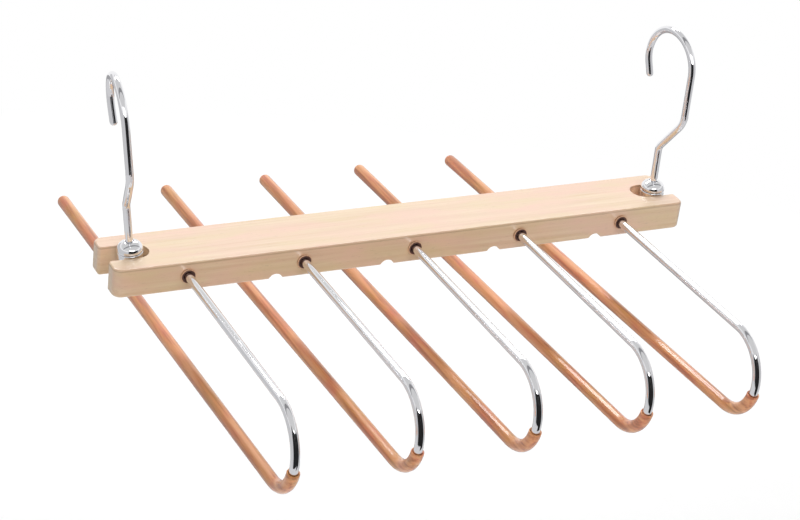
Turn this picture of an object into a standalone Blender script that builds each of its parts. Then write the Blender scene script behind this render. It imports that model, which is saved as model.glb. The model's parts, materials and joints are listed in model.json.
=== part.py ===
# Tiered trouser hanger: a wooden beam that carries five swing arms and hangs from two swivel hooks.
# Units are metres. X runs along the beam, -Y is the side of the arm loops, +Z is up.
# The origin lies over the middle of the beam, on the line where the inside of both crowns rests on a rod.
import math

import bmesh
import bpy
from mathutils import Matrix, Vector

# Gap kept between two pieces that touch on the real hanger
SEAT_GAP = 0.0003
# Gap of a part that turns on another
RUNNING_GAP = 0.00025

# Beam
BEAM_LENGTH = 0.336
BEAM_WIDTH = 0.0366
BEAM_HEIGHT = 0.0157
BORE_BELOW_TOP = 0.00745
BEAM_BOTTOM_CORNER = 0.0015
BEAM_TOP_CORNER = 0.0014
BEAM_UPRIGHT_CORNER = 0.0045
BEAM_EDGE_ROUND = 0.0009
FORK_SLOT_WIDTH = 0.015
FORK_SLOT_DEPTH = 0.0240
FORK_MOUTH_ROUND = 0.0018
NOTCH_RADIUS = 0.0042
NOTCH_DEPTH = 0.0028
NOTCH_SHOULDER = 0.0012

# Arms
ARM_COUNT = 5
FIRST_ARM_FROM_END = 0.0389
LAST_ARM_FROM_END = 0.0411
ARM_WIRE_RADIUS = 0.00225
ARM_LOOP_RADIUS = 0.0227
ARM_LOOP_REACH = 0.1375
ARM_TIP_REACH = 0.180
ARM_TAPER_DEGREES = 1.8
SLEEVE_RADIUS = 0.00325
SLEEVE_TIP_RADIUS = 0.0036
SLEEVE_BORE_RADIUS = 0.00245
SLEEVE_START_DEGREES = 102.5
SLEEVE_END_WALL = 0.0012
ARM_FOLD_DEGREES = 78.5

# Bore of an arm in the beam, its bushing, and the collar crimped on the wire behind the bushing
BORE_DEPTH = 0.0325
BUSHING_RADIUS = 0.0034
BUSHING_LENGTH = 0.0056
BUSHING_FLANGE_RADIUS = 0.0040
BUSHING_FLANGE_THICKNESS = 0.0008
BUSHING_MOUTH_RADIUS = 0.0030
BUSHING_MOUTH_DEPTH = 0.0012
COLLAR_RADIUS = 0.0033
COLLAR_LENGTH = 0.0014

# Swivels in the fork slots
LEFT_PIN_FROM_END = 0.0151
RIGHT_PIN_FROM_END = 0.0101
PIN_RADIUS = 0.00175
PIN_RECESS = 0.0015
PIN_BLIND_WALL = 0.0045
BLOCK_RADIUS = 0.0067
BLOCK_TOP = 0.0080
BLOCK_EDGE_ROUND = 0.0006
POCKET_RADIUS = 0.0043
CAP_RIM_HEIGHT = 0.0009
CAP_DOME_HEIGHT = 0.0047
CAP_SPIGOT_LENGTH = 0.0016
WASHER_RADIUS = 0.0037
WASHER_THICKNESS = 0.0008
STEM_HEAD_RADIUS = 0.0028
STEM_HEAD_THICKNESS = 0.0012

# Hooks, heights measured from the pivot pin
HOOK_WIRE_RADIUS = 0.0020
HOOK_JOG_HEIGHT = 0.0347
HOOK_SHOULDER_HEIGHT = 0.0567
HOOK_JOG = 0.0173
HOOK_JOG_BEND = 0.006
HOOK_SHOULDER_BEND = 0.016
HOOK_RISE = 0.028
HOOK_CROWN_RADIUS = 0.0189
HOOK_CROWN_DEGREES = 200.0
HOOK_TIP_LENGTH = 0.006
# How each hook stands as hung: lean of its stem towards -X, and turn of its shoulder from -Y towards +X
LEFT_HOOK_LEAN_DEGREES = 7.5
LEFT_HOOK_TURN_DEGREES = -7.6
RIGHT_HOOK_LEAN_DEGREES = 1.7
RIGHT_HOOK_TURN_DEGREES = 5.7

# Facets
WIRE_SIDES = 12
ROUND_SIDES = 24
BORE_SIDES = 16
LOOP_STEPS = 20
BEND_STEPS = 5
EDGE_STEPS = 3
DOME_STEPS = 6

# Places that follow from the sizes
BEAM_TOP = BORE_BELOW_TOP
BEAM_BOTTOM = BORE_BELOW_TOP - BEAM_HEIGHT
BEAM_FRONT = -BEAM_WIDTH / 2
BEAM_BACK = BEAM_WIDTH / 2
LEFT_PIN_X = LEFT_PIN_FROM_END - BEAM_LENGTH / 2
RIGHT_PIN_X = BEAM_LENGTH / 2 - RIGHT_PIN_FROM_END
ARM_PITCH = (BEAM_LENGTH - FIRST_ARM_FROM_END - LAST_ARM_FROM_END) / (ARM_COUNT - 1)
ARM_TAPER = math.radians(ARM_TAPER_DEGREES)
ARM_FOLD = math.radians(ARM_FOLD_DEGREES)


def hook_crown_centre():
    """Centre of the crown's arc, as sideways and upward distance from the pivot pin."""
    return HOOK_JOG - HOOK_CROWN_RADIUS, HOOK_SHOULDER_HEIGHT + HOOK_RISE


# Height of the bores and pivot pins, below the line where the crowns rest on the rod
AXIS_Z = -(hook_crown_centre()[1] + HOOK_CROWN_RADIUS - HOOK_WIRE_RADIUS)


def clear_scene():
    """Remove every object, so that only the hanger is in the file."""
    for old in list(bpy.data.objects):
        bpy.data.objects.remove(old, do_unlink=True)


def material(name, colour, roughness, metallic):
    """A plain surface of one colour."""
    made = bpy.data.materials.new(name)
    made.use_nodes = True
    shader = made.node_tree.nodes["Principled BSDF"]
    shader.inputs["Base Color"].default_value = (*colour, 1.0)
    shader.inputs["Roughness"].default_value = roughness
    shader.inputs["Metallic"].default_value = metallic
    return made


def add_object(name, bm, surface=None, parent=None):
    """Turn a bmesh into an object of the scene, under a parent where it has one."""
    bmesh.ops.recalc_face_normals(bm, faces=bm.faces)
    mesh = bpy.data.meshes.new(name)
    bm.to_mesh(mesh)
    bm.free()
    mesh.shade_smooth()
    mesh.set_sharp_from_angle(angle=math.radians(35))
    made = bpy.data.objects.new(name, mesh)
    bpy.context.scene.collection.objects.link(made)
    if surface is not None:
        mesh.materials.append(surface)
    if parent is not None:
        made.parent = parent
    return made


def add_axis(name, place, turn=None, parent=None):
    """An empty that stands on a joint's axis."""
    empty = bpy.data.objects.new(name, None)
    bpy.context.scene.collection.objects.link(empty)
    empty.empty_display_size = BEAM_HEIGHT
    empty.location = place
    if turn is not None:
        empty.rotation_euler = turn.to_euler()
    if parent is not None:
        empty.parent = parent
    return empty


def ring(centre, tangent, side, radius, sides):
    """Points of a circle about a path's centre, square to its tangent. side is square to the whole path."""
    other = tangent.cross(side)
    points = []
    for k in range(sides):
        angle = 2 * math.pi * (k + 0.5) / sides
        points.append(centre + radius * (math.cos(angle) * side + math.sin(angle) * other))
    return points


def loft(rings):
    """A closed body through rings of points. A ring of one point is a pole."""
    bm = bmesh.new()
    previous = None
    for points in rings:
        current = [bm.verts.new(p) for p in points]
        if previous is not None:
            join_rings(bm, previous, current)
        previous = current
    return bm


def join_rings(bm, first, second):
    """Faces between two neighbouring rings, either of which may be a pole."""
    count = max(len(first), len(second))
    for k in range(count):
        after = (k + 1) % count
        if len(first) == 1:
            bm.faces.new((first[0], second[k], second[after]))
        elif len(second) == 1:
            bm.faces.new((first[k], second[0], first[after]))
        else:
            bm.faces.new((first[k], second[k], second[after], first[after]))


def turned(profile, axis, sides, place=Vector((0.0, 0.0, 0.0))):
    """A body of revolution about Y or Z. profile is (radius, height) from one pole to the other."""
    side = Vector((1.0, 0.0, 0.0))
    rings = []
    for radius, height in profile:
        centre = place + axis * height
        if radius == 0.0:
            rings.append([centre])
        else:
            rings.append(ring(centre, axis, side, radius, sides))
    return loft(rings)


def closed_ring(profile, axis, sides):
    """A body of revolution with a hole. profile is a closed outline of (radius, height) points."""
    bm = bmesh.new()
    side = Vector((1.0, 0.0, 0.0))
    loops = []
    for radius, height in profile:
        loops.append([bm.verts.new(p) for p in ring(axis * height, axis, side, radius, sides)])
    for k in range(len(loops)):
        join_rings(bm, loops[k], loops[(k + 1) % len(loops)])
    return bm


def arc(centre, radius, start, end, steps):
    """Points of an arc in a plane, from angle start to angle end."""
    points = []
    for k in range(steps + 1):
        angle = start + (end - start) * k / steps
        points.append((centre[0] + radius * math.cos(angle), centre[1] + radius * math.sin(angle)))
    return points


def extruded(outline, low, high, across):
    """A prism of a closed outline. across is 'Y' for an outline in X and Z, and 'Z' for one in X and Y."""
    bm = bmesh.new()
    if across == "Y":
        near = [bm.verts.new((a, low, b)) for a, b in outline]
        far = [bm.verts.new((a, high, b)) for a, b in outline]
    else:
        near = [bm.verts.new((a, b, low)) for a, b in outline]
        far = [bm.verts.new((a, b, high)) for a, b in outline]
    bm.faces.new(near)
    bm.faces.new(list(reversed(far)))
    join_rings(bm, near, far)
    return bm


def cut(target, cutter):
    """Take one object out of another. The cutter is kept as a guide and isn't part of the hanger."""
    cutter.hide_render = True
    cutter.display_type = "WIRE"
    modifier = target.modifiers.new("cut_" + cutter.name, "BOOLEAN")
    modifier.operation = "DIFFERENCE"
    modifier.object = cutter


def arm_places():
    """X of each arm's bore, from the left end to the right."""
    return [FIRST_ARM_FROM_END - BEAM_LENGTH / 2 + ARM_PITCH * k for k in range(ARM_COUNT)]


def arm_drop():
    """Distance from the upper leg down to the lower leg at the middle of the beam."""
    turn = math.pi - ARM_TAPER
    end_y = -ARM_LOOP_REACH - ARM_LOOP_RADIUS * math.sin(turn)
    end_z = ARM_LOOP_RADIUS * math.cos(turn) - ARM_LOOP_RADIUS
    return -(end_z + end_y * math.tan(ARM_TAPER))


# Beam


def edge_inset(height, below, above):
    """How far a side of the beam steps back at a height, for the radii of its lower and upper edge."""
    reach = 0.0
    radius = below
    if height < BEAM_BOTTOM + below:
        reach = BEAM_BOTTOM + below - height
    elif height > BEAM_TOP - above:
        reach = height - BEAM_TOP + above
        radius = above
    return radius - math.sqrt(max(radius**2 - reach**2, 0.0))


def edge_heights(below, above, steps):
    """Heights of the points along a lower and an upper edge's arcs, between the top and the bottom."""
    heights = []
    for k in range(1, steps + 1):
        angle = math.pi / 2 * k / steps
        heights.append(BEAM_BOTTOM + below - below * math.cos(angle))
        heights.append(BEAM_TOP - above + above * math.cos(angle))
    return heights


def beam_ring(height):
    """The beam's outline at one height: a rectangle with round upright corners."""
    side = edge_inset(height, BEAM_EDGE_ROUND, BEAM_EDGE_ROUND)
    corner = BEAM_UPRIGHT_CORNER - side
    x = BEAM_LENGTH / 2 - edge_inset(height, BEAM_BOTTOM_CORNER, BEAM_TOP_CORNER) - corner
    y = BEAM_WIDTH / 2 - side - corner
    quarter = math.pi / 2
    points = []
    for k, centre in enumerate(((x, y), (-x, y), (-x, -y), (x, -y))):
        points += arc(centre, corner, k * quarter, (k + 1) * quarter, BEND_STEPS)
    return [Vector((a, b, height)) for a, b in points]


def beam_mesh():
    """The bare beam: a bar with rounded edges, rounder at its two ends."""
    heights = [BEAM_BOTTOM, BEAM_TOP]
    heights += edge_heights(BEAM_BOTTOM_CORNER, BEAM_TOP_CORNER, BEND_STEPS)
    heights += edge_heights(BEAM_EDGE_ROUND, BEAM_EDGE_ROUND, EDGE_STEPS)
    bm = loft([beam_ring(height) for height in sorted(heights)])
    bmesh.ops.holes_fill(bm, edges=[edge for edge in bm.edges if edge.is_boundary])
    return bm


def fork_slot_cutter(name, direction, parent):
    """The slot of one end's fork: open at the end, with a rounded mouth and a round inner end."""
    half = BEAM_LENGTH / 2
    radius = FORK_SLOT_WIDTH / 2
    flare = FORK_MOUTH_ROUND
    quarter = math.pi / 2
    lower = [(half + radius, -radius - flare)]
    lower += arc((half - flare, -radius - flare), flare, 0.0, quarter, EDGE_STEPS)
    inner = arc((half - FORK_SLOT_DEPTH + radius, 0.0), radius, -quarter, -math.pi - quarter, BORE_SIDES)
    upper = [(x, -y) for x, y in reversed(lower)]
    points = [(direction * x, y) for x, y in lower + inner + upper]
    return add_object(name, extruded(points, -BEAM_WIDTH, BEAM_WIDTH, "Z"), parent=parent)


def notch_outline():
    """Half of a groove's outline, as steps sideways and up from the underside: shoulder, then crown.

    The shoulder's arc touches the underside and the crown's arc from outside.
    """
    low = NOTCH_DEPTH - NOTCH_RADIUS
    reach = NOTCH_RADIUS + NOTCH_SHOULDER
    rise = NOTCH_SHOULDER - low
    middle = math.sqrt(reach**2 - rise**2)
    meet = math.atan2(rise, middle)
    points = arc((middle, NOTCH_SHOULDER), NOTCH_SHOULDER, -math.pi / 2, meet - math.pi, EDGE_STEPS)
    points += arc((0.0, low), NOTCH_RADIUS, meet, math.pi / 2, BEND_STEPS)[1:]
    return points


def notch_cutter(name, bore_x, parent):
    """The groove under the beam in which the lower leg of a folded arm lies."""
    x = bore_x + arm_drop() * math.sin(ARM_FOLD)
    half = notch_outline()
    below = (half[0][0], -BEAM_HEIGHT / 4)
    right = [below] + half
    left = [(-a, b) for a, b in reversed(right[:-1])]
    outline = [(x + a, BEAM_BOTTOM + b) for a, b in right + left]
    return add_object(name, extruded(outline, -BEAM_WIDTH, BEAM_WIDTH, "Y"), parent=parent)


def bore_cutter(name, bore_x, parent):
    """The stepped blind bore of an arm: wide for the bushing and the collar, then narrow for the wire."""
    along = Vector((0.0, 1.0, 0.0))
    wide = BUSHING_RADIUS + SEAT_GAP
    narrow = ARM_WIRE_RADIUS + RUNNING_GAP
    step = BUSHING_LENGTH + COLLAR_LENGTH + 2 * SEAT_GAP
    profile = [(0.0, -BEAM_WIDTH / 4), (wide, -BEAM_WIDTH / 4), (wide, step)]
    profile += [(narrow, step), (narrow, BORE_DEPTH), (0.0, BORE_DEPTH)]
    bm = turned(profile, along, BORE_SIDES, Vector((bore_x, BEAM_FRONT, 0.0)))
    return add_object(name, bm, parent=parent)


def pin_hole_cutter(name, pin_x, parent):
    """The hole of a pivot pin, drilled from the back through one prong and blind into the other."""
    along = Vector((0.0, 1.0, 0.0))
    radius = PIN_RADIUS + SEAT_GAP
    blind = BEAM_FRONT + PIN_BLIND_WALL - SEAT_GAP
    profile = [(0.0, blind), (radius, blind), (radius, BEAM_WIDTH), (0.0, BEAM_WIDTH)]
    return add_object(name, turned(profile, along, BORE_SIDES, Vector((pin_x, 0.0, 0.0))), parent=parent)


def make_beam(wood, parent):
    """The wooden beam, with its forks, pin holes, bores and grooves cut."""
    beam = add_object("beam", beam_mesh(), wood, parent)
    for name, direction, pin_x in (("left", -1, LEFT_PIN_X), ("right", 1, RIGHT_PIN_X)):
        cut(beam, fork_slot_cutter(name + "_fork_cutter", direction, parent))
        cut(beam, pin_hole_cutter(name + "_pin_cutter", pin_x, parent))
    places = arm_places()
    for k, bore_x in enumerate(places):
        cut(beam, bore_cutter(f"bore_cutter_{k + 1}", bore_x, parent))
    for k, bore_x in enumerate(places[:-1]):
        cut(beam, notch_cutter(f"notch_cutter_{k + 1}", bore_x, parent))
    return beam


# Arms


def arm_stations(first_degrees, spacing_from_tip):
    """Centre and tangent along an arm from an angle of its loop to near its tip.

    The loop's angle is 0 where the upper leg ends and 180 less the taper where the lower leg begins.
    """
    turn = math.pi - ARM_TAPER
    first = math.radians(first_degrees)
    stations = []
    steps = max(2, round(LOOP_STEPS * (turn - first) / turn))
    for k in range(steps + 1):
        angle = first + (turn - first) * k / steps
        y = -ARM_LOOP_REACH - ARM_LOOP_RADIUS * math.sin(angle)
        z = ARM_LOOP_RADIUS * math.cos(angle) - ARM_LOOP_RADIUS
        stations.append((Vector((0.0, y, z)), Vector((0.0, -math.cos(angle), -math.sin(angle)))))
    last, along = stations[-1]
    run = (ARM_TIP_REACH - last.y) / along.y - spacing_from_tip
    stations.append((last + along * run, along))
    return stations


def arm_wire_rings():
    """The chromed wire: a straight upper leg from the blind end of its bore, the loop and the lower leg."""
    side = Vector((1.0, 0.0, 0.0))
    back = BEAM_FRONT + BORE_DEPTH - SEAT_GAP
    forward = Vector((0.0, -1.0, 0.0))
    path = [(Vector((0.0, back, 0.0)), forward)]
    path += arm_stations(0.0, SLEEVE_END_WALL + SEAT_GAP)
    rings = [[path[0][0]]]
    rings += [ring(centre, tangent, side, ARM_WIRE_RADIUS, WIRE_SIDES) for centre, tangent in path]
    rings.append([path[-1][0]])
    return rings


def arm_sleeve_rings():
    """The coloured sleeve: a tube over the lower leg, open on the loop and closed by a round tip.

    Along the straight leg the tube widens evenly towards the tip.
    """
    side = Vector((1.0, 0.0, 0.0))
    bore = arm_stations(SLEEVE_START_DEGREES, SLEEVE_END_WALL)
    skin = arm_stations(SLEEVE_START_DEGREES, SLEEVE_TIP_RADIUS)
    rings = [[bore[-1][0]]]
    for centre, tangent in reversed(bore):
        rings.append(ring(centre, tangent, side, SLEEVE_BORE_RADIUS, WIRE_SIDES))
    for centre, tangent in skin[:-1]:
        rings.append(ring(centre, tangent, side, SLEEVE_RADIUS, WIRE_SIDES))
    last, along = skin[-1]
    for k in range(BEND_STEPS):
        angle = math.pi / 2 * k / BEND_STEPS
        centre = last + along * SLEEVE_TIP_RADIUS * math.sin(angle)
        rings.append(ring(centre, along, side, SLEEVE_TIP_RADIUS * math.cos(angle), WIRE_SIDES))
    rings.append([last + along * SLEEVE_TIP_RADIUS])
    return rings


def bushing_mesh():
    """The flanged bushing pressed into the mouth of a bore, with a flared mouth."""
    bore = ARM_WIRE_RADIUS + RUNNING_GAP
    face = BEAM_FRONT - SEAT_GAP
    front = face - BUSHING_FLANGE_THICKNESS
    inner = BEAM_FRONT + BUSHING_LENGTH
    profile = [
        (BUSHING_MOUTH_RADIUS, front),
        (BUSHING_FLANGE_RADIUS - BUSHING_FLANGE_THICKNESS / 2, front),
        (BUSHING_FLANGE_RADIUS, front + BUSHING_FLANGE_THICKNESS / 2),
        (BUSHING_FLANGE_RADIUS, face),
        (BUSHING_RADIUS, face),
        (BUSHING_RADIUS, inner),
        (bore, inner),
        (bore, front + BUSHING_MOUTH_DEPTH),
    ]
    return closed_ring(profile, Vector((0.0, 1.0, 0.0)), BORE_SIDES)


def collar_mesh():
    """The ring on the wire, trapped between the bushing and the step of the bore, that keeps the arm in."""
    start = BEAM_FRONT + BUSHING_LENGTH + SEAT_GAP
    end = start + COLLAR_LENGTH
    bore = ARM_WIRE_RADIUS + SEAT_GAP
    profile = [(bore, start), (COLLAR_RADIUS, start), (COLLAR_RADIUS, end), (bore, end)]
    return closed_ring(profile, Vector((0.0, 1.0, 0.0)), BORE_SIDES)


def make_arm(number, bore_x, surfaces, frame):
    """One swing arm on its axis, and the bushing that stays in the beam."""
    axis = add_axis(f"arm_{number}_axis", (bore_x, 0.0, 0.0), parent=frame)
    add_object(f"arm_{number}_wire", loft(arm_wire_rings()), surfaces["chrome"], axis)
    add_object(f"arm_{number}_sleeve", loft(arm_sleeve_rings()), surfaces["sleeve"], axis)
    add_object(f"arm_{number}_collar", collar_mesh(), surfaces["steel"], axis)
    bushing = add_object(f"arm_{number}_bushing", bushing_mesh(), surfaces["bushing"], frame)
    bushing.location = (bore_x, 0.0, 0.0)


# Swivels and hooks


def block_mesh():
    """The swivel block: an upright cylinder with a ball-shaped foot and a pocket in its top."""
    up = Vector((0.0, 0.0, 1.0))
    edge = BLOCK_RADIUS - BLOCK_EDGE_ROUND
    profile = [(0.0, -BLOCK_RADIUS)]
    for k in range(1, DOME_STEPS + 1):
        angle = math.pi / 2 * k / DOME_STEPS
        profile.append((BLOCK_RADIUS * math.sin(angle), -BLOCK_RADIUS * math.cos(angle)))
    profile += [(BLOCK_RADIUS, BLOCK_TOP - BLOCK_EDGE_ROUND), (edge, BLOCK_TOP), (POCKET_RADIUS, BLOCK_TOP)]
    floor = stem_heights()[0] - SEAT_GAP
    profile += [(POCKET_RADIUS, floor), (0.0, floor)]
    return turned(profile, up, ROUND_SIDES)


def cross_bore_mesh():
    """The hole through a swivel block in which the pivot pin lies."""
    along = Vector((0.0, 1.0, 0.0))
    radius = PIN_RADIUS + RUNNING_GAP
    profile = [(0.0, -BEAM_WIDTH), (radius, -BEAM_WIDTH), (radius, BEAM_WIDTH), (0.0, BEAM_WIDTH)]
    return turned(profile, along, BORE_SIDES)


def cap_mesh():
    """The domed cap pressed into the block's pocket, with the stem's hole through it."""
    bore = HOOK_WIRE_RADIUS + RUNNING_GAP
    base = BLOCK_TOP + SEAT_GAP
    rim = base + CAP_RIM_HEIGHT
    spigot = POCKET_RADIUS - SEAT_GAP
    foot = BLOCK_TOP - CAP_SPIGOT_LENGTH
    profile = [(bore, foot), (spigot, foot), (spigot, base), (BLOCK_RADIUS, base)]
    top_angle = math.acos(bore / BLOCK_RADIUS)
    for k in range(DOME_STEPS + 1):
        angle = top_angle * k / DOME_STEPS
        profile.append((BLOCK_RADIUS * math.cos(angle), rim + CAP_DOME_HEIGHT * math.sin(angle)))
    return closed_ring(profile, Vector((0.0, 0.0, 1.0)), ROUND_SIDES)


def stem_heights():
    """Bottom of the stem's peened head, bottom of the washer on it, and top of the washer."""
    washer_top = BLOCK_TOP - CAP_SPIGOT_LENGTH - SEAT_GAP
    washer_bottom = washer_top - WASHER_THICKNESS
    head_top = washer_bottom - SEAT_GAP
    return head_top - STEM_HEAD_THICKNESS, washer_bottom, washer_top


def washer_mesh():
    """The washer on the stem's peened head, which bears on the underside of the cap."""
    head_bottom, bottom, top = stem_heights()
    bore = HOOK_WIRE_RADIUS + RUNNING_GAP
    profile = [(bore, bottom), (WASHER_RADIUS, bottom), (WASHER_RADIUS, top), (bore, top)]
    return closed_ring(profile, Vector((0.0, 0.0, 1.0)), BORE_SIDES)


def rounded_corner(before, corner, after, radius, steps):
    """Points of an arc that rounds a corner between two straight runs of a plane path."""
    back = (Vector(before) - Vector(corner)).normalized()
    ahead = (Vector(after) - Vector(corner)).normalized()
    half = back.angle(ahead) / 2
    middle = (back + ahead).normalized()
    centre = Vector(corner) + middle * radius / math.sin(half)
    start = Vector(corner) + back * radius / math.tan(half) - centre
    sweep = math.pi - 2 * half
    sign = 1.0 if back.x * ahead.y - back.y * ahead.x < 0 else -1.0
    points = []
    for k in range(steps + 1):
        turn = Matrix.Rotation(sign * sweep * k / steps, 2)
        points.append(centre + turn @ start)
    return points


def hook_centre_line():
    """The hook's path from its head up: stem, jog, rise, crown and tip, as sideways and upward steps."""
    head_bottom = stem_heights()[0]
    foot = (0.0, head_bottom + STEM_HEAD_THICKNESS)
    jog = (0.0, HOOK_JOG_HEIGHT)
    shoulder = (HOOK_JOG, HOOK_SHOULDER_HEIGHT)
    sideways, upward = hook_crown_centre()
    spring = (HOOK_JOG, upward)
    end = math.radians(HOOK_CROWN_DEGREES)
    crown = arc((sideways, upward), HOOK_CROWN_RADIUS, 0.0, end, LOOP_STEPS)
    tip = (
        crown[-1][0] - HOOK_TIP_LENGTH * math.sin(end),
        crown[-1][1] + HOOK_TIP_LENGTH * math.cos(end),
    )
    points = [Vector(foot)]
    points += rounded_corner(foot, jog, shoulder, HOOK_JOG_BEND, BEND_STEPS)
    points += rounded_corner(jog, shoulder, spring, HOOK_SHOULDER_BEND, BEND_STEPS)
    points += [Vector(p) for p in crown]
    points.append(Vector(tip))
    return points


def hook_mesh():
    """The hook's wire, with its peened head below and a round tip. Its shoulder stands towards -Y."""
    side = Vector((1.0, 0.0, 0.0))
    flat = hook_centre_line()
    path = [Vector((0.0, -p.x, p.y)) for p in flat]
    count = len(path)
    tangents = []
    for k in range(count):
        before = path[max(k - 1, 0)]
        after = path[min(k + 1, count - 1)]
        tangents.append((after - before).normalized())
    head_bottom = stem_heights()[0]
    up = Vector((0.0, 0.0, 1.0))
    head_top = head_bottom + STEM_HEAD_THICKNESS
    rings = [[up * head_bottom]]
    rings.append(ring(up * head_bottom, up, side, HOOK_WIRE_RADIUS, WIRE_SIDES))
    rings.append(ring(up * (head_bottom + STEM_HEAD_THICKNESS / 2), up, side, STEM_HEAD_RADIUS, WIRE_SIDES))
    rings.append(ring(up * head_top, up, side, STEM_HEAD_RADIUS, WIRE_SIDES))
    for centre, tangent in zip(path, tangents):
        rings.append(ring(centre, tangent, side, HOOK_WIRE_RADIUS, WIRE_SIDES))
    last = path[-1]
    along = tangents[-1]
    for k in range(1, BEND_STEPS - 1):
        angle = math.pi / 2 * k / (BEND_STEPS - 1)
        centre = last + along * HOOK_WIRE_RADIUS * math.sin(angle)
        rings.append(ring(centre, along, side, HOOK_WIRE_RADIUS * math.cos(angle), WIRE_SIDES))
    rings.append([last + along * HOOK_WIRE_RADIUS])
    return loft(rings)


def make_hook(name, pin_x, lean, turn, surfaces, frame):
    """One pivot pin, and on it the swivel block with its cap and the hook that turns in it."""
    along = Vector((0.0, 1.0, 0.0))
    start = BEAM_FRONT + PIN_BLIND_WALL
    end = BEAM_BACK - PIN_RECESS
    profile = [(0.0, start), (PIN_RADIUS, start), (PIN_RADIUS, end), (0.0, end)]
    pin = add_object(name + "_pivot_pin", turned(profile, along, BORE_SIDES), surfaces["steel"], frame)
    pin.location = (pin_x, 0.0, 0.0)
    tilt = add_axis(name + "_tilt_axis", (pin_x, 0.0, 0.0), Matrix.Rotation(-lean, 3, "Y"), frame)
    block = add_object(name + "_swivel_block", block_mesh(), surfaces["chrome"], tilt)
    cut(block, add_object(name + "_cross_bore_cutter", cross_bore_mesh(), parent=tilt))
    add_object(name + "_swivel_cap", cap_mesh(), surfaces["chrome"], tilt)
    swivel = add_axis(name + "_swivel_axis", (0.0, 0.0, 0.0), Matrix.Rotation(turn, 3, "Z"), tilt)
    add_object(name + "_stem_washer", washer_mesh(), surfaces["steel"], swivel)
    add_object(name + "_hook_wire", hook_mesh(), surfaces["chrome"], swivel)


def main():
    """Build the hanger."""
    clear_scene()
    surfaces = {
        "wood": material("varnished_wood", (0.80, 0.62, 0.42), 0.42, 0.0),
        "chrome": material("bright_chrome", (0.82, 0.82, 0.84), 0.08, 1.0),
        "steel": material("plain_steel", (0.55, 0.55, 0.57), 0.35, 1.0),
        "sleeve": material("copper_vinyl", (0.66, 0.33, 0.20), 0.38, 0.0),
        "bushing": material("brown_bushing", (0.30, 0.18, 0.12), 0.45, 0.0),
    }
    frame = add_axis("hanger_frame", (0.0, 0.0, AXIS_Z))
    make_beam(surfaces["wood"], frame)
    for k, bore_x in enumerate(arm_places()):
        make_arm(k + 1, bore_x, surfaces, frame)
    left_lean = math.radians(LEFT_HOOK_LEAN_DEGREES)
    left_turn = math.radians(LEFT_HOOK_TURN_DEGREES)
    right_lean = math.radians(RIGHT_HOOK_LEAN_DEGREES)
    right_turn = math.radians(RIGHT_HOOK_TURN_DEGREES)
    make_hook("left", LEFT_PIN_X, left_lean, left_turn, surfaces, frame)
    make_hook("right", RIGHT_PIN_X, right_lean, right_turn, surfaces, frame)


main()
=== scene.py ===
"""Finished look of the tiered trouser hanger: beam, wires, sleeves, swivels, hooks and a studio.

Lengths are metres. X runs along the beam, -Y is the side of the arm loops and +Z is up.
"""

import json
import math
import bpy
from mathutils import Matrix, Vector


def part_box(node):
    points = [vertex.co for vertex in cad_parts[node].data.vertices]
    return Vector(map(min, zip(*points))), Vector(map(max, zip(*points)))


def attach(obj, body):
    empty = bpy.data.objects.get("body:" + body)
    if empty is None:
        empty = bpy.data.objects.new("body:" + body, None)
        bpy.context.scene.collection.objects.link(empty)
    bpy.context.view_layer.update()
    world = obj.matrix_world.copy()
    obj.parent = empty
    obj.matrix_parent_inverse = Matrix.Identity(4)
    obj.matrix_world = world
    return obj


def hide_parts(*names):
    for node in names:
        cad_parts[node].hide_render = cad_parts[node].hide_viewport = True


bl_info = {
    "name": "Tiered trouser hanger",
    "version": (1, 0, 0),
    "blender": (4, 5, 0),
    "location": "3D View > Sidebar > Hanger",
    "description": "Dresses a tiered trouser hanger: beam, swing arms, sleeves, swivels, hooks and studio",
    "category": "Object",
}

import bmesh
import bpy
import numpy as np
from mathutils import Matrix, Vector

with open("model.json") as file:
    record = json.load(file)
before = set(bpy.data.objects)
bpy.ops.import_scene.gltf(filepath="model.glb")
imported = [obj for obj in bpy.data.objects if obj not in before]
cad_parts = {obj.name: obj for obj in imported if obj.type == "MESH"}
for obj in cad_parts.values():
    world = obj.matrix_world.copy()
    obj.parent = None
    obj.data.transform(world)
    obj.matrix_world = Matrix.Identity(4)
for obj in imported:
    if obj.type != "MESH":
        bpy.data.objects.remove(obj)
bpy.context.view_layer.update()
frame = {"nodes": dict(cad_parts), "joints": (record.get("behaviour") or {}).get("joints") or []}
JOINTS = {joint["name"]: joint for joint in frame["joints"]}
ARMS = ("arm_1", "arm_2", "arm_3", "arm_4", "arm_5")
SIDES = ("left", "right")
BEAM_LOW, BEAM_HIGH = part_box("beam")

# Facets of the finished pieces and of the cards round them
WIRE_SIDES = 64
ROUND_SIDES = 72
BORE_SIDES = 48
BEND_STEPS = 20
LOOP_STEPS = 64
LEG_STEPS = 60
UPPER_LEG_STEPS = 31
CORNER_STEPS = 8
TIP_STEPS = 9
CARD_COLUMNS = 48
CARD_ROWS = 16
SHARP_ANGLE = math.radians(40.0)

# Gaps between pieces that are set in each other, and between pieces that turn on each other
SET_GAP = 0.0003
RUN_GAP = 0.00025

# How far the painted shade in a bushing's mouth reaches over its flange
MOUTH_SHADE_OVERLAP = 0.0006

# Hidden fixings
PIN_BLIND_WALL = 0.0042
WASHER_THICKNESS = 0.0008
HEAD_HEIGHT = 0.0012
HEAD_RADIUS = 0.0028
HEAD_FOOT_RADIUS = 0.0020

# The floor's half side, where it runs out into white, and the height of the low cards above it
FLOOR_HALF = 8.0
FLOOR_FADE_START = 0.42
FLOOR_FADE_END = 1.15
CARD_LIFT = 0.005

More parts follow.
